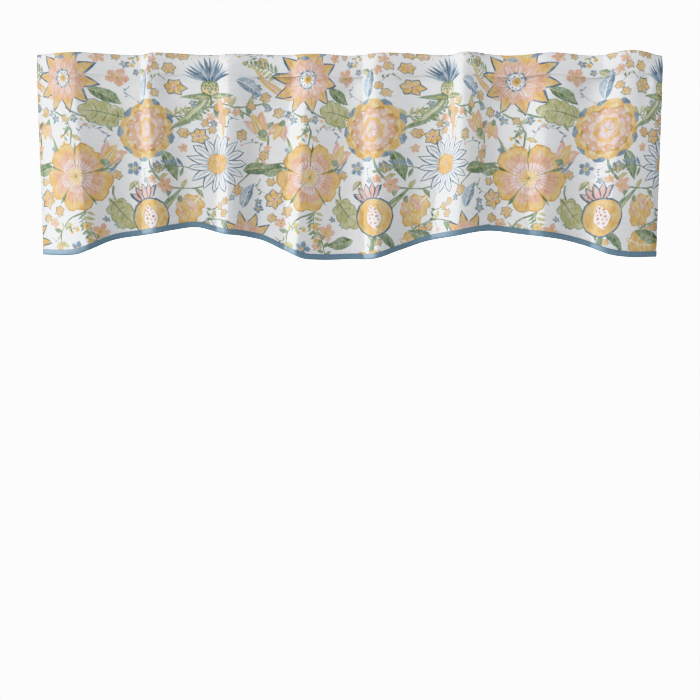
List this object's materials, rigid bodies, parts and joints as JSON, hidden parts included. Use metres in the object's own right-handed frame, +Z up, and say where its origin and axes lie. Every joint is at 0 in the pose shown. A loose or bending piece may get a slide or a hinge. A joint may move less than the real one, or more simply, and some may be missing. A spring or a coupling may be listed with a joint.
{
  "type": "window valance",
  "caption": "Printed cotton window valance hanging in soft upright folds, with a rod pocket along its top and a plain blue binding round its scalloped hem.",
  "frame": {"origin": "the middle of the top edge, over the rod's axis", "axes": "+X along the top edge, to the right as seen from the room; -Y toward the room; +Z up"},
  "size_m": [1.3875, 0.0643, 0.4684],
  "materials": {
    "printed_cotton": "plain-woven cotton, printed with flowers and leaves on white",
    "blue_cotton": "plain-woven cotton, dyed slate blue"
  },
  "bodies": {
    "root": {"panel": "printed_cotton", "heading": "printed_cotton", "binding": "blue_cotton"}
  },
  "joints": []
}
